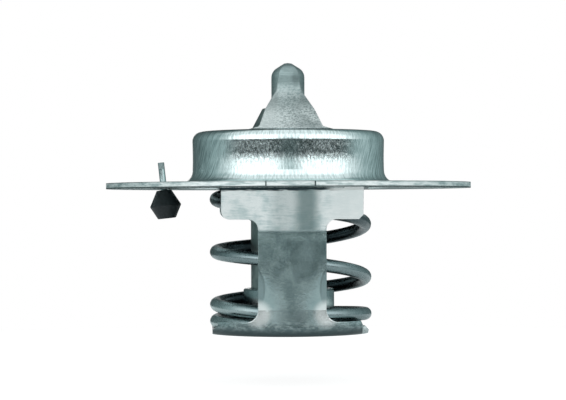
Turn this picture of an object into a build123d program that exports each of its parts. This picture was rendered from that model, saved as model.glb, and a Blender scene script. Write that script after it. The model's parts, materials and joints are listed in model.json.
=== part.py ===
from build123d import *
import math
import os

# Engine thermostat, in millimetres. The origin is the centre of the flange's
# underside, +Z points to the nose, and the two legs stand at -Y and +Y.

# Both stampings are pressed from the same steel sheet
sheet = 0.9

# Flange and dome of the upper stamping
flange_radius = 28.5
dome_radius = 15.05
dome_height = 8.9
foot_fillet = 1.9
crown_fillet = 1.5
waist_depth = 0.1
waist_height = 4.5
waist_radius = 30.0
seat_width = 2.55
rim_flat_width = 7.1
rim_flat_depth = 0.35
rim_flat_x = -0.8

# Bridge and knob of the upper stamping, heights above the dome
bridge_foot_width = 12.8
bridge_root_width = 9.7
bridge_mid_width = 7.5
bridge_neck_width = 5.0
bridge_foot_setback = 0.3
bridge_mid_rise = 3.3
bridge_neck_rise = 5.9
bridge_neck_bend = 3.4
finger_width = 3.9
finger_tip_width = 3.1
finger_relief = 0.3
knob_radius = 2.6
knob_rise = 10.8
shoulder_radius = 1.7
nose_wall = 1.4

# Lower stamping: T heads, legs, base with its lips, and collar
base_drop = 22.5
head_width = 21.35
head_drop = 4.75
head_lean = 1.55
bend_drop = 6.4
leg_width = 10.3
leg_clearance = 0.35
lip_height = 2.2
lip_width = 22.4
lip_slant_width = 0.55
lip_slant_height = 1.1
base_width = 24.0
ledge_height = 1.4
ledge_corner = 0.65
foot_drop = 11.0
neck_fillet = 1.5
root_fillet = 1.9
head_corner = 1.3
base_bend = 1.4
collar_height = 6.9
collar_fillet = 1.9
lug_width = 3.0
lug_spacing = 18.4
lug_clearance = 0.05

# Main spring, left-hand, with closed and ground ends
wire_diameter = 2.05
spring_inset = 0.05
closed_pitch = 2.1
top_closed_turns = 1.64
bottom_closed_turns = 1.28
active_turns = 2.3
start_turn = 0.272
seat_gap = 0.03

# Valve disc, dished, and the rubber ring moulded over its rim
disc_sheet = 0.8
disc_depth = 4.1
disc_bend = 1.0
seat_lap = 1.1
seal_height = 2.0
seal_cover = 0.4
seal_crown = 0.6

# Wax element: case with its crimped head, guide bush, sleeve and wax
case_radius = 5.9
case_wall = 0.75
case_bottom_drop = 21.8
case_bottom_fillet = 1.2
case_clearance = 0.3
disc_bore_clearance = 0.05
crimp_radius = 8.3
crimp_lip = 1.35
guide_base_radius = 6.55
guide_top_radius = 4.0
guide_flange = 0.9
guide_height = 6.45
guide_edge = 0.3
sleeve_radius = 3.3
sleeve_flange = 0.65
sleeve_floor = 1.6
fill_clearance = 0.04

# Piston pin and what seals round it
pin_radius = 1.6
pin_clearance = 0.06
pin_length = 27.0
pin_end_fillet = 0.8
pin_end_gap = 0.3
seal_pocket_radius = 2.75
pin_seal_height = 1.9
washer_height = 0.7

# Bleed pin with its weight, which leans a little in its hole
jiggle_offset = 2.6
jiggle_tilt = 6.0
jiggle_pin_radius = 0.5
jiggle_hole_radius = 0.95
jiggle_rise = 3.7
tail_width = 2.4
tail_thickness = 0.8
tail_height = 1.0
plug_top_radius = 1.15
plug_radius = 2.45
plug_bottom_radius = 1.4
plug_upper_height = 2.45
plug_lower_height = 2.0
plug_edge = 0.25
plug_gap = 0.05

# Sizes that follow from the ones above
wire_radius = wire_diameter / 2
dome_inner = dome_radius - sheet
seat_opening = dome_inner - seat_width
seat_z = dome_height - sheet
disc_radius = seat_opening + seat_lap
spring_outer = disc_radius - spring_inset
coil_radius = spring_outer - wire_radius
leg_inner = disc_radius + leg_clearance
leg_outer = leg_inner + sheet
head_outer = leg_outer + head_lean
base_floor = sheet - base_drop
bore_radius = case_radius + case_clearance
disc_seat_z = seat_z - disc_depth
crimp_floor = disc_seat_z + disc_sheet
jiggle_x = -(dome_radius + foot_fillet + jiggle_offset)
pocket_top = dome_height + knob_rise - nose_wall
pin_bottom = pocket_top - pin_length

os.makedirs("parts", exist_ok=True)


def finish(builder, name):
    """Label a finished piece and write it as its own STEP file."""
    builder.part.label = name
    export_step(builder.part, f"parts/{name}.step")


# Bridge: two straps that rise from the seat ring and meet at the knob. The side
# view gives the bent sheet, and the front view trims it to its width.
knob_top = dome_height + knob_rise
neck_z = dome_height + bridge_neck_rise
mid_z = dome_height + bridge_mid_rise
finger_face = knob_radius + finger_relief
finger_top = knob_top - finger_relief
finger_bend = shoulder_radius + finger_relief
bridge_foot_y = seat_opening + bridge_foot_setback

with BuildPart() as bridge:
    with BuildSketch(Plane.YZ):
        with BuildLine():
            FilletPolyline(
                (dome_radius - crown_fillet, dome_height),
                (bridge_foot_y, dome_height),
                (finger_face, neck_z),
                (finger_face, finger_top),
                (0, finger_top),
                radius=[sheet, bridge_neck_bend, finger_bend],
            )
            offset(amount=sheet, side=Side.LEFT)
        make_face()
        mirror(about=Plane.YZ)
    extrude(amount=bridge_foot_width, both=True)
    with BuildSketch(Plane.XZ):
        with BuildLine():
            outline = FilletPolyline(
                (0, seat_z),
                (bridge_foot_width / 2, seat_z),
                (bridge_foot_width / 2, dome_height),
                (bridge_root_width / 2, dome_height + sheet / 2),
                (bridge_mid_width / 2, mid_z),
                (bridge_neck_width / 2, neck_z - sheet / 2),
                (finger_width / 2, neck_z + sheet / 3),
                (finger_tip_width / 2, finger_top - finger_bend),
                radius=[0, 0, sheet / 2, 2 * sheet, sheet, sheet],
            )
            EllipticalCenterArc(
                (0, finger_top - finger_bend),
                x_radius=finger_tip_width / 2,
                y_radius=finger_bend,
                start_angle=0,
                arc_size=90,
            )
            mirror(about=Plane.YZ)
        make_face()
    extrude(amount=dome_radius, both=True, mode=Mode.INTERSECT)
    with BuildSketch(Plane.XY.offset(seat_z)):
        Circle(dome_radius - crown_fillet)
    extrude(amount=knob_top - seat_z, mode=Mode.INTERSECT)

# Upper stamping: flange, dome and seat ring as one revolved sheet, with the
# bridge, the drawn knob with its pin pocket, and the holes.
slot_y = head_outer - sheet / 2 + head_lean * sheet / bend_drop / 2
slot_depth = sheet + head_lean * sheet / bend_drop + 3 * lug_clearance
shoulder_z = knob_top - shoulder_radius - 2 * finger_relief
shoulder_centre = knob_radius - shoulder_radius

with BuildPart() as valve_body:
    with BuildSketch(Plane.XZ):
        with BuildLine():
            FilletPolyline(
                (flange_radius, sheet),
                (dome_radius, sheet),
                (dome_radius - waist_depth, waist_height),
                (dome_radius, dome_height),
                (seat_opening, dome_height),
                radius=[foot_fillet, waist_radius, crown_fillet],
            )
            offset(amount=sheet, side=Side.LEFT)
        make_face()
    revolve(axis=Axis.Z)
    add(bridge.part)
    with BuildSketch(Plane.XZ):
        with BuildLine():
            knob_foot = Polyline(
                (0, neck_z - sheet),
                (knob_radius, neck_z - sheet),
                (knob_radius, shoulder_z),
            )
            shoulder = CenterArc(
                (shoulder_centre, shoulder_z),
                shoulder_radius,
                0,
                60,
            )
            nose = FilletPolyline(
                shoulder @ 1,
                (2 * finger_relief, knob_top - finger_relief / 3),
                (0, knob_top),
                radius=[finger_relief],
            )
            Line(nose @ 1, knob_foot @ 0)
        make_face()
    revolve(axis=Axis.Z)
    with BuildSketch(Plane.XZ):
        with Locations((0, pocket_top)):
            Rectangle(
                pin_radius + pin_clearance,
                pocket_top - seat_z,
                align=(Align.MIN, Align.MAX),
            )
    revolve(axis=Axis.Z, mode=Mode.SUBTRACT)
    with Locations((jiggle_x, 0, sheet)):
        Hole(jiggle_hole_radius, depth=sheet)
    with Locations((rim_flat_x, -flange_radius, sheet / 2)):
        Box(rim_flat_width, 2 * rim_flat_depth, sheet, mode=Mode.SUBTRACT)
    with GridLocations(lug_spacing, 2 * slot_y, 2, 2):
        Box(
            lug_width + 2 * lug_clearance,
            slot_depth,
            2 * sheet,
            align=(Align.CENTER, Align.CENTER, Align.CENTER),
            mode=Mode.SUBTRACT,
        )
finish(valve_body, "valve_body")

# Lower stamping. Its base is a shallow round cup with two lips left standing, and a
# drawn collar in the middle guides the wax element. Two flat legs rise from the lips
# to leaning T heads, and the foot of each leg curves round into its lip.
lip_top = lip_height - base_drop
foot_z = lip_top + root_fillet
collar_reach = bore_radius + collar_fillet + sheet


def corners(sketch, x, y):
    """Corners of a sketch at height y and at x from its middle, on both sides."""
    return sketch.vertices().filter_by(
        lambda v: abs(abs(v.X) - x) < 0.01 and abs(v.Y - y) < 0.01
    )


with BuildPart() as base_cup:
    with BuildSketch(Plane.XZ):
        with BuildLine():
            FilletPolyline(
                (0, -base_drop),
                (leg_outer, -base_drop),
                (leg_outer, foot_z),
                radius=base_bend,
            )
            offset(amount=sheet, side=Side.LEFT)
        make_face()
    revolve(axis=Axis.Z)
    with BuildSketch(Plane.XZ) as base_outline:
        with Locations((0, -base_drop)):
            Rectangle(lip_width, lip_height, align=(Align.CENTER, Align.MIN))
            Rectangle(leg_width, leg_outer, align=(Align.CENTER, Align.MIN))
            Rectangle(base_width, ledge_height, align=(Align.CENTER, Align.MIN))
        fillet(corners(base_outline, leg_width / 2, lip_top), root_fillet)
        chamfer(corners(base_outline, base_width / 2, ledge_height - base_drop), ledge_corner)
        with BuildLine():
            Polyline(
                (lip_width / 2 - lip_slant_width, lip_top),
                (lip_width / 2, lip_top - lip_slant_height),
                (lip_width / 2, lip_top),
                close=True,
            )
        make_face(mode=Mode.SUBTRACT)
    extrude(amount=leg_outer, both=True, mode=Mode.INTERSECT)
    with BuildSketch(Plane.XY.offset(-base_drop)):
        Circle(bore_radius + collar_fillet)
    extrude(amount=sheet, mode=Mode.SUBTRACT)
    with BuildSketch(Plane.XZ):
        with BuildLine():
            FilletPolyline(
                (collar_reach, -base_drop),
                (bore_radius, -base_drop),
                (bore_radius, collar_height - base_drop),
                radius=[collar_fillet],
            )
            offset(amount=sheet, side=Side.RIGHT)
        make_face()
    revolve(axis=Axis.Z)
    collar_rim = base_cup.edges().filter_by(GeomType.CIRCLE)
    collar_rim = collar_rim.filter_by_position(
        Axis.Z, collar_height - base_drop - 0.01, collar_height - base_drop + 0.01
    )
    fillet(collar_rim.sort_by(SortBy.RADIUS)[-1], sheet / 3)

# The foot of a leg: flat at its upper end, and bowed more and more towards the lip
with BuildPart() as leg_foot:
    with BuildSketch(Plane.XY.offset(-foot_drop)):
        with Locations((0, -leg_outer)):
            Rectangle(leg_width, sheet, align=(Align.CENTER, Align.MIN))
    for share in (1 / 3, 2 / 3, 1):
        bow_radius = leg_outer / share**2
        with BuildSketch(Plane.XY.offset(share * (foot_drop + foot_z) - foot_drop)):
            with Locations((0, bow_radius - leg_outer)):
                Circle(bow_radius)
                Circle(bow_radius - sheet, mode=Mode.SUBTRACT)
            with Locations((0, -leg_outer)):
                Rectangle(
                    leg_width,
                    leg_outer,
                    align=(Align.CENTER, Align.MIN),
                    mode=Mode.INTERSECT,
                )
    loft()

with BuildPart() as lower_frame:
    with BuildSketch(Plane.YZ):
        with BuildLine():
            FilletPolyline(
                (leg_outer, -foot_drop),
                (leg_outer, -bend_drop),
                (head_outer + head_lean * sheet / bend_drop, sheet),
                radius=[2 * base_bend],
            )
            offset(amount=sheet, side=Side.LEFT)
        make_face()
        mirror(about=Plane.YZ)
    extrude(amount=head_width, both=True)
    with BuildSketch(Plane.XZ) as front:
        with Locations((0, -head_drop)):
            Rectangle(head_width, head_drop, align=(Align.CENTER, Align.MIN))
        with Locations((0, -foot_drop)):
            Rectangle(leg_width, foot_drop, align=(Align.CENTER, Align.MIN))
        fillet(corners(front, leg_width / 2, -head_drop), neck_fillet)
        fillet(corners(front, head_width / 2, -head_drop).sort_by(Axis.X)[0], head_corner)
        chamfer(corners(front, head_width / 2, -head_drop)[0], head_corner / 2)
        with GridLocations(lug_spacing, 0, 2, 1):
            Rectangle(lug_width, sheet, align=(Align.CENTER, Align.MIN))
    extrude(amount=2 * head_outer, both=True, mode=Mode.INTERSECT)
    add(leg_foot.part)
    mirror(leg_foot.part, about=Plane.XZ)
    add(base_cup.part)
finish(lower_frame, "lower_frame")

# Valve disc: a dished sheet. The element's crimped head rests in it, and the
# spring presses on its underside.
disc_wall = disc_radius - seal_cover
disc_bore = case_radius + disc_bore_clearance

with BuildPart() as valve_plate:
    with BuildSketch(Plane.XZ):
        with BuildLine():
            FilletPolyline(
                (disc_bore, disc_seat_z),
                (disc_wall, disc_seat_z),
                (disc_wall, seat_z - seal_crown),
                radius=[disc_bend],
            )
            offset(amount=disc_sheet, side=Side.LEFT)
        make_face()
    revolve(axis=Axis.Z)
finish(valve_plate, "valve_plate")

with BuildPart() as valve_seal:
    with BuildSketch(Plane.XZ) as seal_section:
        with Locations((disc_radius, seat_z)):
            Rectangle(
                2 * seal_cover + disc_sheet,
                seal_height,
                align=(Align.MAX, Align.MAX),
            )
        fillet(seal_section.vertices().group_by(Axis.Y)[0], seal_cover / 2)
        with Locations((disc_wall, seat_z - seal_crown)):
            Rectangle(
                disc_sheet,
                seal_height,
                align=(Align.MAX, Align.MAX),
                mode=Mode.SUBTRACT,
            )
    revolve(axis=Axis.Z)
finish(valve_seal, "valve_seal")

# Wax element. The case's head is crimped over the sleeve's flange and the guide.
sleeve_top = crimp_floor + case_wall + sleeve_flange
guide_floor = sleeve_top
crimp_top = guide_floor + guide_flange + case_wall
head_inner = crimp_radius - case_wall
pin_bore = pin_radius + pin_clearance
sleeve_bore_end = pin_bottom - pin_end_gap

with BuildPart() as element_case:
    with BuildSketch(Plane.XZ):
        with BuildLine():
            FilletPolyline(
                (0, -case_bottom_drop),
                (case_radius, -case_bottom_drop),
                (case_radius, crimp_floor),
                (crimp_radius, crimp_floor),
                (crimp_radius, crimp_top),
                (crimp_radius - crimp_lip, crimp_top),
                radius=[case_bottom_fillet, 0, case_wall, case_wall],
            )
            offset(amount=case_wall, side=Side.LEFT)
        make_face()
    revolve(axis=Axis.Z)
finish(element_case, "element_case")

with BuildPart() as guide_bush:
    with BuildSketch(Plane.XZ) as guide_section:
        with BuildLine():
            Polyline(
                (0, guide_floor),
                (head_inner - fill_clearance, guide_floor),
                (head_inner - fill_clearance, guide_floor + guide_flange),
                (guide_base_radius, guide_floor + guide_flange),
                (guide_base_radius, crimp_top),
                (guide_top_radius, guide_floor + guide_height),
                (0, guide_floor + guide_height),
                close=True,
            )
        make_face()
        fillet(corners(guide_section, guide_top_radius, guide_floor + guide_height), guide_edge)
    revolve(axis=Axis.Z)
    with Locations((0, 0, guide_floor + guide_height)):
        Hole(pin_bore, depth=guide_height)
    with BuildSketch(Plane.XY.offset(guide_floor)):
        Circle(seal_pocket_radius)
    extrude(amount=washer_height + pin_seal_height, mode=Mode.SUBTRACT)
finish(guide_bush, "guide_bush")

with BuildPart() as backup_washer:
    with BuildSketch(Plane.XY.offset(guide_floor)):
        Circle(seal_pocket_radius - fill_clearance)
        Circle(pin_bore, mode=Mode.SUBTRACT)
    extrude(amount=washer_height)
finish(backup_washer, "backup_washer")

with BuildPart() as pin_seal:
    with BuildSketch(Plane.XY.offset(guide_floor + washer_height)):
        Circle(seal_pocket_radius - fill_clearance)
        Circle(pin_bore, mode=Mode.SUBTRACT)
    extrude(amount=pin_seal_height - fill_clearance)
finish(pin_seal, "pin_seal")

with BuildPart() as elastomer_sleeve:
    with BuildSketch(Plane.XY.offset(sleeve_top)):
        Circle(head_inner - fill_clearance)
    extrude(amount=-sleeve_flange)
    with BuildSketch(Plane.XY.offset(sleeve_top)):
        Circle(sleeve_radius)
    extrude(amount=sleeve_bore_end - sleeve_floor - sleeve_top)
    fillet(elastomer_sleeve.edges().sort_by(Axis.Z)[0], pin_end_fillet)
    with Locations((0, 0, sleeve_top)):
        Hole(pin_bore, depth=sleeve_top - sleeve_bore_end)
finish(elastomer_sleeve, "elastomer_sleeve")

wax_floor = case_wall + fill_clearance - case_bottom_drop
wax_top = crimp_floor + case_wall - fill_clearance
wax_bore_end = sleeve_bore_end - sleeve_floor - fill_clearance

with BuildPart() as wax_charge:
    with BuildSketch(Plane.XY.offset(wax_floor)):
        Circle(case_radius - case_wall - fill_clearance)
    extrude(amount=wax_top - wax_floor)
    fillet(wax_charge.edges().sort_by(Axis.Z)[0], case_bottom_fillet)
    with Locations((0, 0, wax_top)):
        Hole(sleeve_radius + fill_clearance, depth=wax_top - wax_bore_end)
finish(wax_charge, "wax_charge")

with BuildPart() as piston_pin:
    with BuildSketch(Plane.XY.offset(pin_bottom)):
        Circle(pin_radius)
    extrude(amount=pin_length)
    fillet(piston_pin.edges().filter_by(GeomType.CIRCLE), pin_end_fillet)
finish(piston_pin, "piston_pin")

# Main spring: the wire's centre line steps down by the closed pitch, then by the
# active pitch, and by the closed pitch again. Both ends are ground flat.
spring_top = disc_seat_z - seat_gap
spring_floor = base_floor + seat_gap
spring_length = spring_top - spring_floor
ground_turns = 0.4
closed_drop = closed_pitch * (top_closed_turns + bottom_closed_turns - 2 * ground_turns)
active_pitch = (spring_length - wire_diameter - closed_drop) / active_turns
all_turns = top_closed_turns + active_turns + bottom_closed_turns
start_angle = 360 * (start_turn - top_closed_turns)
steps_per_turn = 12


def wire_height(turn):
    """Height of the wire's centre after a number of turns from the top end."""
    closed = min(turn, top_closed_turns)
    active = min(max(turn - top_closed_turns, 0), active_turns)
    end = max(turn - top_closed_turns - active_turns, 0)
    drop = closed_pitch * (closed + end - ground_turns) + active_pitch * active
    return spring_top - wire_radius - drop


def wire_point(step):
    """Point on the wire's centre line; the height is averaged over a short arc."""
    turn = step / steps_per_turn
    reach = 0.12
    height = (wire_height(turn - reach) + wire_height(turn + reach)) / 2
    angle = math.radians(start_angle + 360 * turn)
    return (coil_radius * math.cos(angle), coil_radius * math.sin(angle), height)


with BuildPart() as main_spring:
    with BuildLine() as wire:
        Spline([wire_point(step) for step in range(round(all_turns * steps_per_turn) + 1)])
    with BuildSketch(Plane(origin=wire.line @ 0, z_dir=wire.line % 0)):
        Circle(wire_radius)
    sweep(is_frenet=True)
    with BuildSketch(Plane.XY.offset(spring_floor)):
        Circle(2 * coil_radius)
    extrude(amount=spring_length, mode=Mode.INTERSECT)
finish(main_spring, "main_spring")

# Bleed pin and its weight, on one leaning axis through the hole in the flange
tilt = math.radians(jiggle_tilt)
jiggle_plane = Plane(
    origin=(jiggle_x, 0, sheet / 2),
    x_dir=(math.cos(tilt), 0, math.sin(tilt)),
    z_dir=(-math.sin(tilt), 0, math.cos(tilt)),
)
plug_top = -(sheet / 2 + plug_gap + plug_top_radius * math.sin(tilt)) / math.cos(tilt)
plug_bottom = plug_top - plug_upper_height - plug_lower_height

with BuildPart() as jiggle_pin:
    with BuildSketch(jiggle_plane.offset(plug_top - plug_upper_height)):
        Circle(jiggle_pin_radius)
    extrude(amount=jiggle_rise + plug_upper_height - plug_top)
    with BuildSketch(jiggle_plane.offset(jiggle_rise)):
        Rectangle(tail_thickness, tail_width)
    extrude(amount=-tail_height)
finish(jiggle_pin, "jiggle_pin")

with BuildPart() as jiggle_plug:
    with BuildSketch(Plane(jiggle_plane.origin, jiggle_plane.x_dir, -jiggle_plane.y_dir)):
        with BuildLine():
            plug_side = FilletPolyline(
                (0, plug_bottom),
                (plug_bottom_radius, plug_bottom),
                (plug_radius, plug_top - plug_upper_height),
                (plug_top_radius, plug_top),
                (0, plug_top),
                radius=plug_edge,
            )
            Line(plug_side @ 1, plug_side @ 0)
        make_face()
    revolve(axis=Axis(jiggle_plane.origin, jiggle_plane.z_dir))
    with BuildSketch(jiggle_plane.offset(plug_top - plug_upper_height)):
        Circle(jiggle_pin_radius)
    extrude(amount=plug_upper_height, mode=Mode.SUBTRACT)
finish(jiggle_plug, "jiggle_plug")
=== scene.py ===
import json
import math

import bpy
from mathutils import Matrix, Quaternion, Vector


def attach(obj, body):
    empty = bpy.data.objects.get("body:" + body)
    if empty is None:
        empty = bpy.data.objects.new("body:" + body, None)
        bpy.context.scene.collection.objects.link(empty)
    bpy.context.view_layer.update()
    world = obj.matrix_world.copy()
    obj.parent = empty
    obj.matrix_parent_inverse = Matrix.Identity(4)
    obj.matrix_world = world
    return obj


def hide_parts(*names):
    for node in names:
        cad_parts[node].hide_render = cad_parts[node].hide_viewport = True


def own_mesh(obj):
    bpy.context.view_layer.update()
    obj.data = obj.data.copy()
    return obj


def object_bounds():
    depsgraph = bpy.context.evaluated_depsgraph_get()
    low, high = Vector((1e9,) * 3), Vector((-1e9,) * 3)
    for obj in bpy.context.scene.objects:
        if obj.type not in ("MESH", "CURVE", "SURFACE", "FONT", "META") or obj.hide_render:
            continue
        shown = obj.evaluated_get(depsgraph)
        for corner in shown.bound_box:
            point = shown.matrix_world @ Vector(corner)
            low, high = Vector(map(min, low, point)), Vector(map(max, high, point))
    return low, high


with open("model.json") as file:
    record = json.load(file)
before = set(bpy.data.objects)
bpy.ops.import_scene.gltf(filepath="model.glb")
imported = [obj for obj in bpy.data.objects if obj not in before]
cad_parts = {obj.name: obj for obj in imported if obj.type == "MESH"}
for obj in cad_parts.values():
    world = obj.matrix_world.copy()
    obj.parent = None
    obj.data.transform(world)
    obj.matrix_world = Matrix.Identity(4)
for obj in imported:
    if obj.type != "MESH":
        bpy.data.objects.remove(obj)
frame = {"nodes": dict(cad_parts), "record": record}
cad_low, cad_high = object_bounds()
nodes = frame["nodes"]
scene = bpy.context.scene
scene.view_settings.view_transform = "Standard"

# All lengths below are in millimetres until they are multiplied by MM
MM = 0.001


def colour(red, green, blue):
    return (red, green, blue, 1.0)


WHITE = colour(1, 1, 1)

# The photograph's frame: how many pixels a millimetre takes at the axis, where the
# axis stands in it, and how high and how far off the lens is
IMAGE_WIDTH = 566
IMAGE_HEIGHT = 400
PIXELS_PER_MM = 6.376
AXIS_PIXEL_X = 288.4
ORIGIN_PIXEL_Y = 188.6
LENS_HEIGHT = -3.0
LENS_DISTANCE = 320.0
LENS_TURN = math.radians(-2.3)
LENS_ROLL = math.radians(-0.25)
SENSOR_WIDTH = 36.0

# The floor is a round table top. It lies the valve's travel under the base, because
# the element's case comes out through the base when the valve opens
FLOOR_RADIUS = 150.0
FLOOR_SIDES = 96
FLOOR_GLOW = 0.9
FLOOR_PALE = colour(0.82, 0.84, 0.84)
FLOOR_SHADOW = colour(0.25, 0.25, 0.25)

# The studio's radiance by azimuth, in degrees from the camera's side towards +X: of
# its walls, and of the zone just under the horizon
WALL_LEVELS = (
    (-180, 0.06),
    (-150, 0.15),
    (-128, 0.23),
    (-100, 0.46),
    (-82, 0.84),
    (-62, 1.80),
    (-20, 1.85),
    (-11, 1.20),
    (-4, 0.66),
    (4, 0.66),
    (11, 1.10),
    (20, 1.70),
    (62, 1.60),
    (82, 0.90),
    (100, 0.58),
    (128, 0.35),
    (150, 0.23),
    (180, 0.06),
)
HORIZON_LEVELS = (
    (-180, 0.06),
    (-150, 0.14),
    (-128, 0.20),
    (-100, 0.38),
    (-86, 0.38),
    (-72, 0.12),
    (-60, 0.04),
    (-16, 0.04),
    (-8, 0.075),
    (8, 0.075),
    (16, 0.04),
    (60, 0.04),
    (72, 0.13),
    (86, 0.42),
    (100, 0.50),
    (128, 0.32),
    (150, 0.20),
    (180, 0.06),
)
BRIGHTEST_LEVEL = 2.0
FRONT_LEVEL = 1.3
CEILING_LEVEL = 0.95
GROUND_LEVEL = 0.36

# Where the studio's parts begin and end, as pairs for a soft change: azimuths in
# degrees, and heights as the z of a direction of length 1
FRONT_AZIMUTH = (26, 12)
FRONT_BOTTOM = (0.12, 0.34)
FRONT_TOP = (0.9, 0.75)
BACK_AZIMUTH = (100, 140)
CEILING_IN_FRONT = (0.5, 0.92)
CEILING_BEHIND = (0.75, 0.97)
GROUND_START = (-0.2, -0.5)
HORIZON_EDGE = (0.012, 0.04)
BACKDROP_CONE = (0.985, 0.99)
BACKDROP_FOOT = (0.01, 0.03)

# The flat on the flange's rim: where its middle is in x, and half its length
RIM_FLAT_MIDDLE = -0.8
RIM_FLAT_REACH = 3.55

# Sizes of the upper stamping that its marks follow
FLANGE_RADIUS = 28.5
DOME_RADIUS = 15.0
SHEET = 0.9

# Where the finish of the upper stamping and its painted shade change, as pairs for a soft
# change
FLANGE_TOP = (1.5, 1.1)
NOSE = (8.9, 9.3)
FINGER = (13.5, 17.0)
FLANK = (8.5, 12.5)
RIM = (27.95, 28.05)

# Tints of the upper stamping, some of which are painted shade
DOME_DARK = colour(0.56, 0.66, 0.66)
DOME_LIGHT = colour(0.80, 0.90, 0.90)
FLANK_SHADE = colour(0.40, 0.50, 0.50)
STRAP_DARK = colour(0.26, 0.33, 0.33)
STRAP_LIGHT = colour(0.93, 0.99, 0.98)
STRAP_WORN = colour(0.22, 0.28, 0.28)
NECK_DARKER = colour(0.20, 0.26, 0.26)
FINGER_LIGHT = colour(0.34, 0.43, 0.43)
FINGER_PATCH = colour(0.10, 0.14, 0.14)
KNOB_SIDE_SHADE = colour(0.08, 0.11, 0.11)
RIM_DARK = colour(0.46, 0.56, 0.56)
RIM_LIGHT = colour(0.96, 1.0, 0.99)
RIM_LINE = colour(0.10, 0.13, 0.13)

# Where the finish of the lower stamping and its painted light and shade change
HEAD = (-6.6, -6.2)
FOOT = (-16.0, -20.0)
BASE = (-19.6, -21.2)
BEND_HEIGHT = -6.4
FOLD_CENTRE = (9.65, -15.2)
FOLD_RADIUS = 5.4
ROOT_CENTRE = (5.2, -19.0)

# Tints of the lower stamping, some of which are painted light and shade
LEG_DARK = colour(0.42, 0.54, 0.545)
LEG_LIGHT = colour(0.52, 0.64, 0.64)
LEG_STAIN_AND_SHADE = colour(0.20, 0.28, 0.29)
LEG_FOLD_SHADE = colour(0.17, 0.23, 0.24)
HEAD_DARK = colour(0.62, 0.71, 0.71)
HEAD_LIGHT = colour(0.99, 1.0, 0.99)
HEAD_STRIPE_REFLECTION = colour(0.17, 0.24, 0.24)
HEAD_TOP_SHADOW = colour(0.03, 0.045, 0.05)
HEAD_HIGHLIGHT = colour(1, 1, 0.99)
FOOT_MIDDLE_SHADE = colour(0.22, 0.27, 0.275)
BASE_DARK = colour(0.22, 0.29, 0.295)
BASE_LIGHT = colour(0.50, 0.60, 0.60)
BASE_LOWER_EDGE_SHADE = colour(0.09, 0.12, 0.125)
BASE_FACET_HIGHLIGHT = colour(0.85, 0.92, 0.92)
ROOT_HIGHLIGHT = colour(0.94, 0.97, 0.96)

# Tints of the wire, some of which are painted light and shade
WIRE_INSIDE_SHADE = colour(0.035, 0.05, 0.056)
WIRE_DARK = colour(0.22, 0.28, 0.29)
WIRE_LIGHT = colour(0.33, 0.41, 0.42)
WIRE_UPPER_SHADOW = colour(0.10, 0.13, 0.14)
WIRE_PAINTED_LIGHT = colour(0.60, 0.70, 0.70)

# Radii by which edges and the bend of the heads look rounded
EDGE_ROUNDING = 0.16
BEND_ROUNDING = 0.9

# The spring as the photograph shows it: it sits a little off the axis, its free coils
# lean, higher in front than at the back, and the last of them sags
WIRE_RADIUS = 1.025
COIL_RADIUS = 11.625
SPRING_TOP = 3.87
SPRING_FLOOR = -21.57
TOP_CLOSED_TURNS = 1.64
ACTIVE_TURNS = 2.3
BOTTOM_CLOSED_TURNS = 1.28
GROUND_TURNS = 0.4
CLOSED_PITCH = 2.1
START_TURN = 0.272
COIL_LEAN = 0.55
COIL_TWIST = 0.26
COIL_SAG = 0.4
SAG_TURN = 3.7
SAG_REACH = 0.13
COIL_SHIFT = 0.3
CORNER_REACH = 0.12
STEPS_PER_TURN = 60
WIRE_SIDES = 20
VALVE_TRAVEL = 8.0


# Camera
def make_camera():
    right = Vector((math.cos(LENS_TURN), math.sin(LENS_TURN), 0))
    back = Vector((math.sin(LENS_TURN), -math.cos(LENS_TURN), 0))
    left_of_axis = (AXIS_PIXEL_X - IMAGE_WIDTH / 2) / PIXELS_PER_MM
    middle_height = (ORIGIN_PIXEL_Y - IMAGE_HEIGHT / 2) / PIXELS_PER_MM
    place = back * LENS_DISTANCE + Vector((0, 0, LENS_HEIGHT))
    target = Vector((0, 0, middle_height)) - right * left_of_axis
    data = bpy.data.cameras.new("camera")
    data.sensor_width = SENSOR_WIDTH
    data.lens = SENSOR_WIDTH * (target - place).length * PIXELS_PER_MM / IMAGE_WIDTH
    data.clip_start = 0.01
    camera = bpy.data.objects.new("camera", data)
    camera.location = place * MM
    camera.rotation_mode = "QUATERNION"
    level = (target - place).to_track_quat("-Z", "Y")
    camera.rotation_quaternion = level @ Quaternion((0, 0, 1), LENS_ROLL)
    scene.collection.objects.link(camera)
    scene.camera = camera


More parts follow.
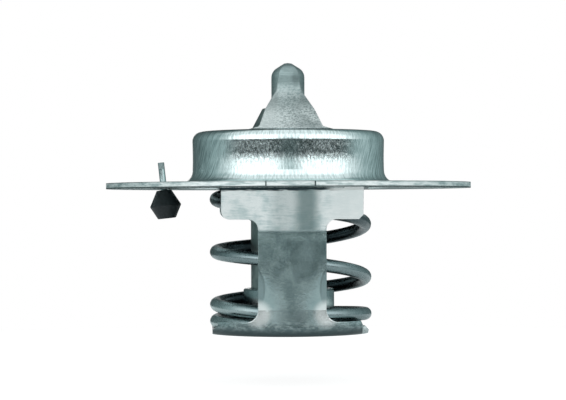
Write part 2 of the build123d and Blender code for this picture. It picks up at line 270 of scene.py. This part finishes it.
class Graph:
    """Short names for building a node tree."""

    def __init__(self, tree):
        self.tree = tree
        tree.nodes.clear()

    def add(self, kind, inputs=None, **settings):
        node = self.tree.nodes.new(kind)
        for name, value in settings.items():
            setattr(node, name, value)
        for name, value in (inputs or {}).items():
            self.set(node.inputs[name], value)
        return node

    def set(self, socket, value):
        if isinstance(value, bpy.types.NodeSocket):
            self.tree.links.new(value, socket)
        else:
            socket.default_value = value

    def math(self, operation, a, b=0.0):
        return self.add("ShaderNodeMath", {0: a, 1: b}, operation=operation).outputs[0]

    def product(self, first, *others):
        for other in others:
            first = self.math("MULTIPLY", first, other)
        return first

    def away(self, value, middle):
        """How far value is from middle, on either side."""
        return self.math("ABSOLUTE", self.math("SUBTRACT", value, middle))

    def remap(self, value, low, high, to_low=0.0, to_high=1.0, kind="SMOOTHSTEP"):
        inputs = {"Value": value, 1: low, 2: high, 3: to_low, 4: to_high}
        node = self.add("ShaderNodeMapRange", inputs, interpolation_type=kind)
        return node.outputs["Result"]

    def place(self, stretch=(1, 1, 1), offset=(0, 0, 0)):
        """The point in millimetres, times stretch."""
        where = self.add("ShaderNodeTexCoord").outputs["Object"]
        scale = [s / MM for s in stretch]
        inputs = {"Vector": where, "Scale": scale, "Location": offset}
        return self.add("ShaderNodeMapping", inputs).outputs["Vector"]

    def axes(self):
        """The point's x, y and z in millimetres."""
        return self.add("ShaderNodeSeparateXYZ", {0: self.place()}).outputs

    def unrolled(self, radius, stretch, slant=0.0):
        """The point unrolled round the axis, along the arc and up, in millimetres,
        turned by slant degrees and then times stretch."""
        x, y, z = self.axes()
        angle = self.math("ARCTAN2", x, self.math("MULTIPLY", y, -1.0))
        arc = self.math("MULTIPLY", angle, radius)
        flat = self.add("ShaderNodeCombineXYZ", {0: arc, 1: z}).outputs[0]
        turned = {"Vector": flat, "Rotation": (0, 0, math.radians(slant))}
        turned = self.add("ShaderNodeMapping", turned).outputs["Vector"]
        scaled = {"Vector": turned, "Scale": (*stretch, 1)}
        return self.add("ShaderNodeMapping", scaled).outputs["Vector"]

    def noise(self, where, scale, detail=4.0, roughness=0.5):
        inputs = {"Vector": where, "Scale": scale, "Detail": detail, "Roughness": roughness}
        return self.add("ShaderNodeTexNoise", inputs).outputs[0]

    def distance(self, a, b):
        """Length of the two legs a and b."""
        squares = self.math("ADD", self.math("MULTIPLY", a, a), self.math("MULTIPLY", b, b))
        return self.math("SQRT", squares)

    def mix(self, share, first, second):
        node = self.add("ShaderNodeMix", data_type="FLOAT")
        sockets = (node.inputs[0], node.inputs[2], node.inputs[3])
        for socket, value in zip(sockets, (share, first, second)):
            self.set(socket, value)
        return node.outputs[0]

    def blend(self, share, first, second):
        node = self.add("ShaderNodeMix", data_type="RGBA")
        self.set(node.inputs[0], share)
        self.set(node.inputs[6], first)
        self.set(node.inputs[7], second)
        return node.outputs[2]

    def ramp(self, value, stops):
        """A colour along value, from (position, colour) stops between 0 and 1."""
        node = self.add("ShaderNodeValToRGB", {"Fac": value})
        elements = node.color_ramp.elements
        ends = (elements[0], elements[1])
        for element, (position, shade) in zip(ends, (stops[0], stops[-1])):
            element.position = position
            element.color = shade
        for position, shade in stops[1:-1]:
            elements.new(position).color = shade
        return node.outputs[0]

    def bump(self, height, depth, strength=1.0, normal=None):
        """A bump of a height from 0 to 1, depth millimetres deep."""
        inputs = {"Height": height, "Distance": depth * MM, "Strength": strength}
        if normal is not None:
            inputs["Normal"] = normal
        return self.add("ShaderNodeBump", inputs).outputs[0]


def new_material(name):
    material = bpy.data.materials.new(name)
    material.use_nodes = True
    return material, Graph(material.node_tree)


def finish_material(graph, **inputs):
    named = {name.replace("_", " "): value for name, value in inputs.items()}
    shader = graph.add("ShaderNodeBsdfPrincipled", named)
    graph.add("ShaderNodeOutputMaterial", {"Surface": shader.outputs[0]})


# World: a grey studio with soft white walls to the left and right, dim under the
# horizon on the camera's side, and a white backdrop behind the object
def studio_grey(level):
    """A level of radiance as a share of the studio's brightest: dim light is a little
    green, bright light isn't."""
    share = min(max((level - 0.3) / 0.7, 0), 1)
    level /= BRIGHTEST_LEVEL
    return colour(level * (0.72 + 0.24 * share), level, level * 1.01)


def panorama(graph, azimuth, levels):
    """The colours round the horizon, from (degrees, level) pairs."""
    place = graph.math("ADD", graph.math("DIVIDE", azimuth, 2 * math.pi), 0.5)
    stops = [(degrees / 360 + 0.5, studio_grey(level)) for degrees, level in levels]
    return graph.ramp(place, stops)


def make_world():
    world = bpy.data.worlds.new("studio")
    world.use_nodes = True
    scene.world = world
    graph = Graph(world.node_tree)
    direction = graph.add("ShaderNodeTexCoord").outputs["Generated"]
    x, y, z = graph.add("ShaderNodeSeparateXYZ", {0: direction}).outputs
    azimuth = graph.math("ARCTAN2", x, graph.math("MULTIPLY", y, -1.0))
    walls = panorama(graph, azimuth, WALL_LEVELS)
    horizon = panorama(graph, azimuth, HORIZON_LEVELS)
    aside = graph.math("ABSOLUTE", azimuth)
    across = graph.remap(aside, *map(math.radians, FRONT_AZIMUTH))
    height = graph.product(graph.remap(z, *FRONT_BOTTOM), graph.remap(z, *FRONT_TOP))
    back = graph.remap(aside, *map(math.radians, BACK_AZIMUTH))
    ceiling = graph.mix(
        back, graph.remap(z, *CEILING_IN_FRONT), graph.remap(z, *CEILING_BEHIND)
    )
    walls = graph.blend(ceiling, walls, studio_grey(CEILING_LEVEL))
    walls = graph.blend(graph.product(across, height), walls, studio_grey(FRONT_LEVEL))
    ground = graph.remap(z, *GROUND_START)
    lower = graph.blend(ground, horizon, studio_grey(GROUND_LEVEL))
    room = graph.blend(graph.remap(z, *HORIZON_EDGE), lower, walls)
    studio = {"Color": room, "Strength": BRIGHTEST_LEVEL}
    studio = graph.add("ShaderNodeBackground", studio).outputs[0]
    white = graph.add("ShaderNodeBackground", {"Color": WHITE, "Strength": 1.0}).outputs[0]
    rays = graph.add("ShaderNodeLightPath").outputs
    mirrored = graph.math("MAXIMUM", rays["Is Glossy Ray"], rays["Is Transmission Ray"])
    backdrop = graph.product(graph.remap(y, *BACKDROP_CONE), graph.remap(z, *BACKDROP_FOOT))
    seen = graph.product(mirrored, backdrop)
    share = graph.math("MAXIMUM", rays["Is Camera Ray"], seen)
    both = graph.add("ShaderNodeMixShader", {0: share, 1: studio, 2: white})
    graph.add("ShaderNodeOutputWorld", {"Surface": both.outputs[0]})


def make_floor():
    material, graph = new_material("floor")
    pale = graph.add("ShaderNodeBsdfDiffuse", {"Color": FLOOR_PALE}).outputs[0]
    glow = graph.add("ShaderNodeEmission", {"Color": WHITE, "Strength": FLOOR_GLOW})
    dim = graph.add("ShaderNodeBsdfDiffuse", {"Color": FLOOR_SHADOW})
    bright = graph.add("ShaderNodeAddShader", {0: glow.outputs[0], 1: dim.outputs[0]})
    camera_ray = graph.add("ShaderNodeLightPath").outputs["Is Camera Ray"]
    both = {0: camera_ray, 1: pale, 2: bright.outputs[0]}
    both = graph.add("ShaderNodeMixShader", both).outputs[0]
    graph.add("ShaderNodeOutputMaterial", {"Surface": both})
    bpy.ops.mesh.primitive_circle_add(
        vertices=FLOOR_SIDES,
        radius=FLOOR_RADIUS * MM,
        fill_type="NGON",
        location=(0, 0, cad_low.z - VALVE_TRAVEL * MM),
    )
    floor = bpy.context.object
    floor.name = "floor"
    floor.data.materials.append(material)


# Materials
def steel_relief(graph, z, nose, finger, flank, patches):
    """Height of the upper stamping's marks: upright on the dome, slanting on its
    flanks, speckled on the nose with level lines at its tip, and plain on the flange."""
    marks = graph.noise(graph.unrolled(DOME_RADIUS, (3.4, 0.75)), 1.0, 6.0, 0.64)
    slants = graph.noise(graph.unrolled(DOME_RADIUS, (3.2, 0.3), 24.0), 1.0, 4.0, 0.6)
    specks = graph.noise(graph.place((3.0, 3.0, 3.8)), 1.0, 6.0, 0.7)
    lines = graph.noise(graph.place((0.5, 0.5, 5.0)), 1.0, 4.0, 0.6)
    scuffs = graph.mix(finger, specks, graph.mix(0.6, specks, lines))
    relief = graph.mix(nose, graph.mix(flank, marks, slants), scuffs)
    return graph.mix(graph.remap(z, *FLANGE_TOP), relief, graph.mix(0.6, patches, specks))


def steel_tint(graph, x, nose, finger, flank, relief):
    """Tint of the dome and nose by their relief, with painted shade on the dome's flanks.
    The strap's left side is smoother.
    """
    # The flanks' darker tint is painted shade of the dome's sides
    dark = graph.blend(flank, DOME_DARK, FLANK_SHADE)
    dark = graph.blend(nose, dark, STRAP_DARK)
    light = graph.blend(nose, DOME_LIGHT, STRAP_LIGHT)
    light = graph.blend(finger, light, FINGER_LIGHT)
    smooth = graph.remap(x, 1.0, -3.5, 0.0, 0.75)
    speckled = graph.math("MAXIMUM", graph.remap(relief, 0.38, 0.56), smooth)
    contrast = graph.mix(nose, graph.remap(relief, 0.36, 0.6), speckled)
    return graph.blend(contrast, dark, light)


def nose_wear_and_shade(graph, tint, x, z, nose, finger, patches):
    """Marks on the nose: dull patches of wear on the strap's right, a darker neck, a dark
    patch on the finger, and painted shade on the sides of the knob beside the finger's
    flat."""
    wear_and_shade = graph.product(graph.remap(x, -2.0, 3.0), graph.remap(patches, 0.3, 0.6), nose)
    tint = graph.blend(graph.product(wear_and_shade, 0.55), tint, STRAP_WORN)
    # The neck is darker where the strap narrows into the knob
    neck = graph.product(graph.remap(z, 11.0, 13.0), graph.remap(z, 17.6, 14.4))
    tint = graph.blend(graph.product(neck, 0.45), tint, NECK_DARKER)
    height = graph.product(graph.math("SUBTRACT", z, 17.1), 0.4)
    patch = graph.distance(graph.math("SUBTRACT", x, 1.1), height)
    patch = graph.product(graph.remap(patch, 0.75, 0.3), 0.4, finger)
    tint = graph.blend(patch, tint, FINGER_PATCH)
    # Painted shade: the knob's sides beside the finger's flat are darkened
    above = graph.math("MAXIMUM", graph.math("SUBTRACT", z, 17.3), 0.0)
    flat = graph.distance(x, graph.product(above, 0.95))
    beside = graph.product(graph.remap(flat, 1.55, 1.9), 0.25, graph.remap(z, 12.6, 14.0))
    return graph.blend(beside, tint, KNOB_SIDE_SHADE)


def sheared_rim(graph, tint, x, y, z, rim):
    """The flange's cut edge, with a burred dark line at its top, a dark line of painted
    shade along its bottom, and a line at each end of its flat."""
    shears = graph.noise(graph.unrolled(FLANGE_RADIUS, (0.3, 1.6)), 1.0, 5.0, 0.6)
    sheared = graph.blend(graph.remap(shears, 0.36, 0.6), RIM_DARK, RIM_LIGHT)
    tint = graph.blend(rim, tint, sheared)
    top = graph.product(graph.remap(z, SHEET - 0.17, SHEET - 0.07), 0.6)
    # The line along the rim's bottom is painted shade of the flange's lower edge
    burr_and_edge_shade = graph.math("MAXIMUM", top, graph.remap(z, 0.24, 0.10))
    tint = graph.blend(graph.product(burr_and_edge_shade, rim), tint, RIM_LINE)
    end = graph.away(graph.away(x, RIM_FLAT_MIDDLE), RIM_FLAT_REACH)
    end = graph.product(graph.remap(end, 0.14, 0.06), rim, graph.remap(y, -27.0, -27.5))
    return graph.blend(end, tint, RIM_LINE)


def plated_steel():
    """Bright drawn sheet of the upper stamping and the valve disc: marked on the dome, dull
    and speckled on the nose, and rough at the flange's sheared rim. Painted shade darkens
    the dome's flanks, the knob's sides and the rim's bottom edge."""
    material, graph = new_material("plated_steel")
    x, y, z = graph.axes()
    nose = graph.remap(z, *NOSE)
    finger = graph.remap(z, *FINGER)
    flank = graph.remap(graph.math("ABSOLUTE", x), *FLANK)
    rim = graph.remap(graph.distance(x, y), *RIM)
    patches = graph.noise(graph.place(), 0.3, 3.0, 0.5)
    relief = steel_relief(graph, z, nose, finger, flank, patches)
    tint = steel_tint(graph, x, nose, finger, flank, relief)
    tint = nose_wear_and_shade(graph, tint, x, z, nose, finger, patches)
    tint = sheared_rim(graph, tint, x, y, z, rim)
    rough = graph.mix(flank, graph.remap(patches, 0.3, 0.7, 0.05, 0.10), 0.2)
    rough = graph.mix(nose, rough, graph.mix(finger, 0.38, 0.5))
    rough = graph.mix(rim, rough, 0.5)
    edge = {"Radius": EDGE_ROUNDING * MM}
    edge = graph.add("ShaderNodeBevel", edge, samples=4).outputs[0]
    depth = graph.mix(nose, 0.022 * MM, 0.05 * MM)
    bumps = {"Height": relief, "Distance": depth, "Normal": edge}
    normal = graph.add("ShaderNodeBump", bumps).outputs[0]
    finish_material(graph, Base_Color=tint, Metallic=1.0, Roughness=rough, Normal=normal)
    return material


def head_painted_shade(graph, tint, x, z, head, streaks):
    """The T head's dim stripe, a painted reflection, and its dark, ragged top edge, a
    painted shadow under the flange.
    """
    # Painted reflection: a dim stripe and a broader dimming across the head
    stripe = graph.product(graph.remap(graph.away(x, 2.2), 2.5, 0.5), 0.5)
    broad = graph.product(graph.remap(graph.away(x, 0.4), 4.6, 2.4), 0.34)
    stripe = graph.product(graph.math("ADD", stripe, broad), head)
    tint = graph.blend(stripe, tint, HEAD_STRIPE_REFLECTION)
    # Painted shadow: a dark, ragged band along the head's top, under the flange
    ragged = graph.remap(streaks, 0.3, 0.7, -0.2, 0.2, "LINEAR")
    top = graph.remap(graph.math("ADD", z, ragged), -0.55, -0.3)
    return graph.blend(top, tint, HEAD_TOP_SHADOW)


def leg_stain_and_shade(graph, tint, x, z, aside):
    """A stain with a ragged outline on the leg's upper right, and painted shade on its
    lower sides.
    """
    wander = graph.noise(graph.place(), 0.7, 3.0, 0.5)
    wander = graph.remap(wander, 0.3, 0.7, -1.0, 1.0, "LINEAR")
    side = graph.remap(graph.math("ADD", x, wander), -0.8, 0.0)
    lower = graph.math("SUBTRACT", graph.math("ADD", z, wander), graph.product(x, 0.5))
    ends = graph.product(graph.remap(lower, -14.8, -13.2), graph.remap(z, -7.6, -8.6))
    tint = graph.blend(graph.product(side, ends, 0.42), tint, LEG_STAIN_AND_SHADE)
    # Painted shade: the leg's lower sides are darkened
    sides = graph.product(
        graph.remap(aside, 1.8, 3.2),
        graph.remap(z, -12.6, -14.2),
        graph.remap(z, -19.0, -17.4),
    )
    return graph.blend(graph.product(sides, 0.32), tint, LEG_STAIN_AND_SHADE)


def leg_fold_shade(graph, tint, z, aside):
    """Painted shade of a curved fold on each side of the leg: a dim field with a darker
    line.
    """
    x_centre, z_centre = FOLD_CENTRE
    # Painted shade: a dark crescent where a fold would turn the sheet away
    radius = graph.distance(
        graph.math("SUBTRACT", aside, x_centre), graph.math("SUBTRACT", z, z_centre)
    )
    field = graph.product(graph.remap(radius, 5.6, 5.2), 0.5)
    line = graph.remap(graph.away(radius, FOLD_RADIUS), 0.26, 0.05)
    line = graph.product(line, graph.remap(z, -18.0, -15.5, 0.2, 0.7))
    fold = graph.math("MAXIMUM", field, line)
    fold = graph.product(fold, graph.remap(z, -11.5, -12.5))
    return graph.blend(fold, tint, LEG_FOLD_SHADE)


def base_mottle_and_light(graph, tint, x, z, aside, grain):
    """The base, mottled, in a tint darker than the legs' and darker still towards its lower
    edge, both painted shade; with a painted highlight on its facet at the right and painted
    highlights at the roots of the legs."""
    mottle = graph.noise(graph.place((1.1, 1.1, 2.0)), 1.0, 5.0, 0.65)
    # The base's tint, darker than the legs', is painted shade, and so is its darker lower
    # edge
    wear_and_shade = graph.blend(graph.remap(mottle, 0.42, 0.6), BASE_DARK, BASE_LIGHT)
    wear_and_shade = graph.blend(graph.remap(z, -20.2, -22.2), wear_and_shade, BASE_LOWER_EDGE_SHADE)
    tint = graph.blend(graph.remap(z, *BASE), tint, wear_and_shade)
    # Painted highlight on the base's facet at the right
    facet = graph.product(
        graph.remap(x, 10.9, 11.0),
        graph.remap(z, -19.8, -20.0),
        graph.remap(grain, 0.4, 0.5, 0.4, 1.0),
    )
    tint = graph.blend(facet, tint, BASE_FACET_HIGHLIGHT)
    # Painted highlights at the roots of the legs
    x_centre, z_centre = ROOT_CENTRE
    root = graph.distance(
        graph.math("SUBTRACT", aside, x_centre), graph.math("SUBTRACT", z, z_centre)
    )
    return graph.blend(graph.remap(root, 2.5, 1.1), tint, ROOT_HIGHLIGHT)


def frame_steel():
    """Duller sheet of the lower stamping, clouded like thin zinc. Its heads are lighter,
    with a painted highlight at their right, a dim stripe and a dark top edge; the roots of
    its legs carry painted highlights, the leg's foot, sides and folds painted shade, and
    its base is darker in painted shade."""
    material, graph = new_material("frame_steel")
    x, _, z = graph.axes()
    clouds = graph.noise(graph.place((1, 1, 0.8)), 0.35, 4.0, 0.6)
    grain = graph.noise(graph.place(), 3.0, 5.0, 0.6)
    streaks = graph.noise(graph.place((0.6, 0.6, 6.0)), 1.0, 4.0, 0.6)
    head = graph.remap(z, *HEAD)
    aside = graph.math("ABSOLUTE", x)
    shade = graph.mix(0.35, clouds, graph.mix(head, grain, streaks))
    dark = graph.blend(head, LEG_DARK, HEAD_DARK)
    light = graph.blend(head, LEG_LIGHT, HEAD_LIGHT)
    tint = graph.blend(graph.remap(shade, 0.38, 0.58), dark, light)
    tint = head_painted_shade(graph, tint, x, z, head, streaks)
    tint = leg_stain_and_shade(graph, tint, x, z, aside)
    # Painted highlight on the right of the heads
    painted_light_patch = graph.product(graph.remap(x, 4.6, 6.6), head, 0.7)
    tint = graph.blend(painted_light_patch, tint, HEAD_HIGHLIGHT)
    # Painted shade: the middle of the leg's foot is darkened
    middle = graph.product(graph.remap(aside, 3.6, 1.2), graph.remap(z, *FOOT), 0.6)
    tint = graph.blend(middle, tint, FOOT_MIDDLE_SHADE)
    tint = leg_fold_shade(graph, tint, z, aside)
    tint = base_mottle_and_light(graph, tint, x, z, aside, grain)
    rough = graph.remap(clouds, 0.3, 0.7, 0.17, 0.22)
    bend = graph.remap(graph.away(z, BEND_HEIGHT), 1.2, 0.7)
    radius = graph.mix(bend, EDGE_ROUNDING * MM, BEND_ROUNDING * MM)
    edge = graph.add("ShaderNodeBevel", {"Radius": radius}, samples=8).outputs[0]
    normal = graph.bump(grain, 0.012, 1.0, edge)
    finish_material(graph, Base_Color=tint, Metallic=1.0, Roughness=rough, Normal=normal)
    return material


def pin_steel():
    material, graph = new_material("pin_steel")
    grain = graph.noise(graph.place((3, 3, 1)), 1.0, 4.0, 0.6)
    tint = graph.blend(grain, colour(0.36, 0.44, 0.44), colour(0.54, 0.63, 0.63))
    finish_material(graph, Base_Color=tint, Metallic=1.0, Roughness=0.25)
    return material


def spring_steel():
    """Drawn wire, grey on the outer side of the coil and nearly black, in painted shade, on
    the side facing the coil's inside. It is darker towards the top in painted shadow of the
    flange, and lighter at the low left in painted light."""
    material, graph = new_material("spring_steel")
    x, y, z = graph.axes()
    outward = {0: graph.add("ShaderNodeCombineXYZ", {0: x, 1: y}).outputs[0]}
    outward = graph.add("ShaderNodeVectorMath", outward, operation="NORMALIZE")
    normal = graph.add("ShaderNodeNewGeometry").outputs["Normal"]
    both = {0: outward.outputs[0], 1: normal}
    facing = graph.add("ShaderNodeVectorMath", both, operation="DOT_PRODUCT")
    outer = graph.remap(facing.outputs["Value"], -0.5, 0.35)
    spots = graph.noise(graph.place(), 1.2, 5.0, 0.6)
    outer_tint = graph.blend(spots, WIRE_DARK, WIRE_LIGHT)
    # Painted shadow of the flange over the upper coils
    outer_tint = graph.blend(graph.remap(z, -11.5, -4.5), outer_tint, WIRE_UPPER_SHADOW)
    # Painted light on the low left coils
    painted_light_patch = graph.product(graph.remap(x, -5.0, -9.0), graph.remap(z, -11.5, -13.0), 0.6)
    outer_tint = graph.blend(painted_light_patch, outer_tint, WIRE_PAINTED_LIGHT)
    # Painted shade: the side of the wire facing the coil's inside is nearly black
    tint = graph.blend(outer, WIRE_INSIDE_SHADE, outer_tint)
    rough = graph.remap(spots, 0.3, 0.7, 0.24, 0.34)
    finish_material(graph, Base_Color=tint, Metallic=1.0, Roughness=rough)
    return material


def element_brass():
    """Brass of the wax element, tinted a dark grey green."""
    material, graph = new_material("element_brass")
    patina = graph.noise(graph.place(), 0.5, 4.0, 0.6)
    tint = graph.blend(
        graph.remap(patina, 0.35, 0.65),
        colour(0.19, 0.24, 0.235),
        colour(0.30, 0.36, 0.35),
    )
    rough = graph.remap(patina, 0.3, 0.7, 0.3, 0.42)
    finish_material(graph, Base_Color=tint, Metallic=1.0, Roughness=rough)
    return material


def black_rubber():
    material, graph = new_material("black_rubber")
    grain = graph.noise(graph.place(), 5.0, 4.0, 0.6)
    tint = graph.blend(grain, colour(0.006, 0.010, 0.012), colour(0.014, 0.020, 0.023))
    normal = graph.bump(grain, 0.02, 0.5)
    finish_material(graph, Base_Color=tint, Roughness=0.5, Normal=normal)
    return material


def wax():
    material, graph = new_material("wax")
    clouds = graph.noise(graph.place(), 0.6, 3.0, 0.5)
    tint = graph.blend(clouds, colour(0.74, 0.71, 0.60), colour(0.82, 0.80, 0.70))
    finish_material(graph, Base_Color=tint, Roughness=0.6)
    return material


def white_plastic():
    material, graph = new_material("white_plastic")
    clouds = graph.noise(graph.place(), 1.0, 3.0, 0.5)
    tint = graph.blend(clouds, colour(0.74, 0.74, 0.71), colour(0.82, 0.82, 0.79))
    finish_material(graph, Base_Color=tint, Roughness=0.4)
    return material


MAKERS = {
    "plated_steel": plated_steel,
    "frame_steel": frame_steel,
    "spring_steel": spring_steel,
    "pin_steel": pin_steel,
    "element_brass": element_brass,
    "black_rubber": black_rubber,
    "wax": wax,
    "white_plastic": white_plastic,
}


def dress_nodes():
    """Gives each CAD node the finish of the slot that the record names for it."""
    made = {slot: maker() for slot, maker in MAKERS.items()}
    for part in frame["record"]["subparts"]:
        node = nodes[part["node"]]
        node.data.materials.clear()
        node.data.materials.append(made[part["material_slot"]])
    return made


# Main spring
def wire_height(turn):
    """Height of the wire's centre after a number of turns from the top end."""
    closed = min(turn, TOP_CLOSED_TURNS)
    active = min(max(turn - TOP_CLOSED_TURNS, 0), ACTIVE_TURNS)
    end = max(turn - TOP_CLOSED_TURNS - ACTIVE_TURNS, 0)
    closed_turns = TOP_CLOSED_TURNS + BOTTOM_CLOSED_TURNS - 2 * GROUND_TURNS
    closed_drop = CLOSED_PITCH * closed_turns
    active_drop = SPRING_TOP - SPRING_FLOOR - 2 * WIRE_RADIUS - closed_drop
    active_pitch = active_drop / ACTIVE_TURNS
    drop = CLOSED_PITCH * (closed + end - GROUND_TURNS) + active_pitch * active
    return SPRING_TOP - WIRE_RADIUS - drop


def wire_centre(turn):
    """The wire's centre, with its corners of pitch rounded over a short arc."""
    angle = 2 * math.pi * (turn + START_TURN - TOP_CLOSED_TURNS)
    height = (wire_height(turn - CORNER_REACH) + wire_height(turn + CORNER_REACH)) / 2
    along = min(max((turn - TOP_CLOSED_TURNS) / ACTIVE_TURNS, 0), 1)
    lean = COIL_LEAN + COIL_TWIST * (1 + math.cos(angle))
    height -= lean * math.sin(math.pi * along) * math.sin(angle)
    height -= COIL_SAG * math.exp(-(((turn - SAG_TURN) / SAG_REACH) ** 2))
    return Vector((
        COIL_SHIFT + COIL_RADIUS * math.cos(angle),
        COIL_RADIUS * math.sin(angle),
        height,
    ))


def make_spring(material):
    """A tube along the wire. Its ends are ground flat by keeping each point between
    the heights of the spring's two faces."""
    sides = WIRE_SIDES
    turns = TOP_CLOSED_TURNS + ACTIVE_TURNS + BOTTOM_CLOSED_TURNS
    steps = round(turns * STEPS_PER_TURN)
    points = []
    for step in range(steps + 1):
        turn = turns * step / steps
        centre = wire_centre(turn)
        forward = (wire_centre(turn + 0.01) - wire_centre(turn - 0.01)).normalized()
        outward = Vector((centre.x - COIL_SHIFT, centre.y, 0)).normalized()
        upward = forward.cross(outward)
        for side in range(sides):
            around = 2 * math.pi * side / sides
            across = math.cos(around) * outward + math.sin(around) * upward
            point = centre + WIRE_RADIUS * across
            point.z = min(max(point.z, SPRING_FLOOR), SPRING_TOP)
            points.append(point * MM)
    faces = []
    for step in range(steps):
        for side in range(sides):
            first = step * sides + side
            second = step * sides + (side + 1) % sides
            faces.append((first, second, second + sides, first + sides))
    faces.append(tuple(reversed(range(sides))))
    faces.append(tuple(range(steps * sides, (steps + 1) * sides)))
    mesh = bpy.data.meshes.new("spring_wire")
    mesh.from_pydata(points, [], faces)
    mesh.shade_smooth()
    mesh.validate()
    piece = bpy.data.objects.new("spring_wire", mesh)
    mesh.materials.append(material)
    scene.collection.objects.link(piece)
    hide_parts("main_spring")
    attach(piece, "housing")
    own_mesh(piece)


make_camera()
make_world()
make_floor()
finishes = dress_nodes()
make_spring(finishes["spring_steel"])
